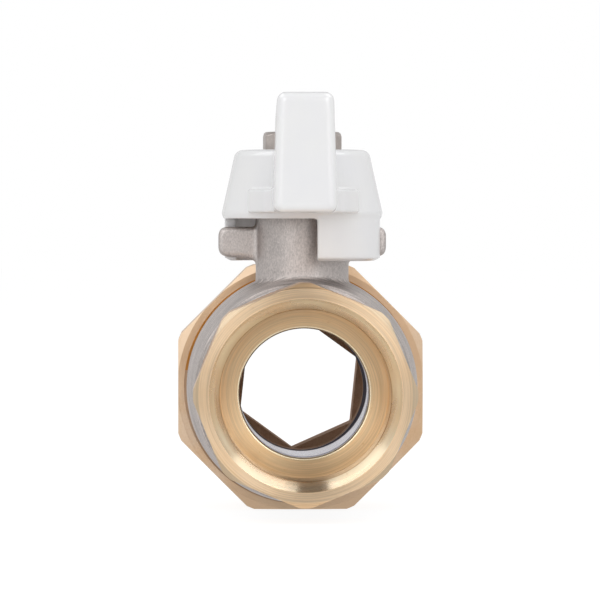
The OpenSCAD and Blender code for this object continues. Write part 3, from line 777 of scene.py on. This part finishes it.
# In metres: the floor's height just under the valve, the camera's place, and the point the lamps face
FLOOR_Z = CAD_BOX[0][2] - 0.05 * MM
CAMERA_PLACE = (-0.0189, -0.860, 0.0318)
LAMPS_FACE = (0, 0.03, 0.01)

# In the photograph's pixels: its width, the lens, and how far its middle lies to the right of and above
# the point that the flow runs towards
PHOTO_W = 600
FOCAL = 4816
MIDDLE = (100, -82)

# Each lamp's place, width and depth in metres, and its power in watts
LAMPS = {
    "front_left": ((-0.34, -0.86, 0.36), (0.5, 0.5), 1.55),
    "front_right": ((0.34, -0.86, 0.36), (0.5, 0.5), 1.75),
    "overhead_left": ((-0.58, 0, 0.8), (0.66, 0.8), 2.1),
    "overhead_right": ((0.48, 0, 0.86), (0.37, 0.8), 1.95),
}


def studio_floor():
    """A pale floor that shows the object's shadow and looks white to the camera and in metal."""
    bm = bmesh.new()
    bmesh.ops.create_grid(bm, x_segments=1, y_segments=1, size=4.0)
    bmesh.ops.translate(bm, verts=bm.verts, vec=(0, 0, FLOOR_Z))
    floor = work_object(bm, "floor")
    material = bpy.data.materials.new("floor_paint")
    material.use_nodes = True
    material.node_tree.nodes.clear()
    n = Nodes(material.node_tree)
    path = n.add("LightPath").outputs
    seen = n.math("MAXIMUM", path["Is Camera Ray"], n.math(
        "MAXIMUM", path["Is Glossy Ray"], path["Is Transmission Ray"]))
    strength = n.add("MapRange", {"Value": path["Is Glossy Ray"], "To Min": n.times(seen, 0.88),
                                  "To Max": 0.6})
    glow = n.add("Emission", {"Color": rgba((1, 1, 1)), "Strength": strength})
    paint = n.add("BsdfDiffuse", {"Color": n.mix(seen, rgba((0.85, 0.85, 0.85)), rgba((0.22, 0.22, 0.22)))})
    n.add("OutputMaterial", {"Surface": n.add("AddShader", {0: paint, 1: glow})})
    floor.data.materials.append(material)


def studio_world():
    """White surroundings, darker towards the front where the room is open behind the camera."""
    world = bpy.data.worlds.new("studio")
    bpy.context.scene.world = world
    world.use_nodes = True
    world.node_tree.nodes.clear()
    n = Nodes(world.node_tree)
    path = n.add("LightPath").outputs
    seen = n.math("MAXIMUM", path["Is Camera Ray"], path["Is Transmission Ray"])
    x, y, z = n.axes(n.add("TexCoord").outputs["Generated"])
    beside, level = n.math("ABSOLUTE", x), n.math("ABSOLUTE", z)
    ahead = n.times(n.span(beside, 0.34, 0.06), n.span(level, 0.8, 0.35), n.span(y, -0.5, -0.8, 0, 0.56))
    overhead = n.times(n.span(beside, 0.3, 0.18), n.span(z, 0.3, 0.6, 0, 0.6))
    glow = n.times(n.span(beside, 0.3, 0.5), n.span(level, 0.45, 0.2), n.span(y, -0.5, -0.75, 0, 0.4))
    room = n.math("SUBTRACT", n.math("SUBTRACT", n.plus(glow, 0.74), ahead), overhead)
    soft = n.span(beside, 0.5, 0.95, 0.56, 0.48)
    mirrored = n.mix(path["Is Glossy Ray"], soft, room)
    color = n.mix(seen, mirrored, rgba((1, 1, 1)))
    n.add("OutputWorld", {"Surface": n.add("Background", {"Color": color, "Strength": 1.0})})


def softbox(name, place, size, power):
    """A rectangular lamp that faces the valve."""
    light = bpy.data.lights.new(name, "AREA")
    light.shape = "RECTANGLE"
    light.size, light.size_y = size
    light.energy = power
    obj = bpy.data.objects.new(name, light)
    obj.location = place
    obj.rotation_euler = (Vector(LAMPS_FACE) - Vector(place)).to_track_quat("-Z", "Y").to_euler()
    bpy.context.scene.collection.objects.link(obj)


def camera():
    """The photograph's viewpoint: a long lens a little above and to the left of the flow axis."""
    data = bpy.data.cameras.new("camera")
    data.sensor_width = 36.0
    data.lens = data.sensor_width * FOCAL / PHOTO_W
    data.clip_start, data.clip_end = 0.05, 20
    obj = bpy.data.objects.new("camera", data)
    obj.location = CAMERA_PLACE
    obj.rotation_euler = Vector((MIDDLE[0] / FOCAL, 1, MIDDLE[1] / FOCAL)).to_track_quat("-Z", "Y").to_euler()
    bpy.context.scene.collection.objects.link(obj)
    bpy.context.scene.camera = obj


studio_floor()
studio_world()
for lamp_name, lamp in LAMPS.items():
    softbox(lamp_name, *lamp)
camera()
bpy.context.scene.view_settings.view_transform = "Standard"
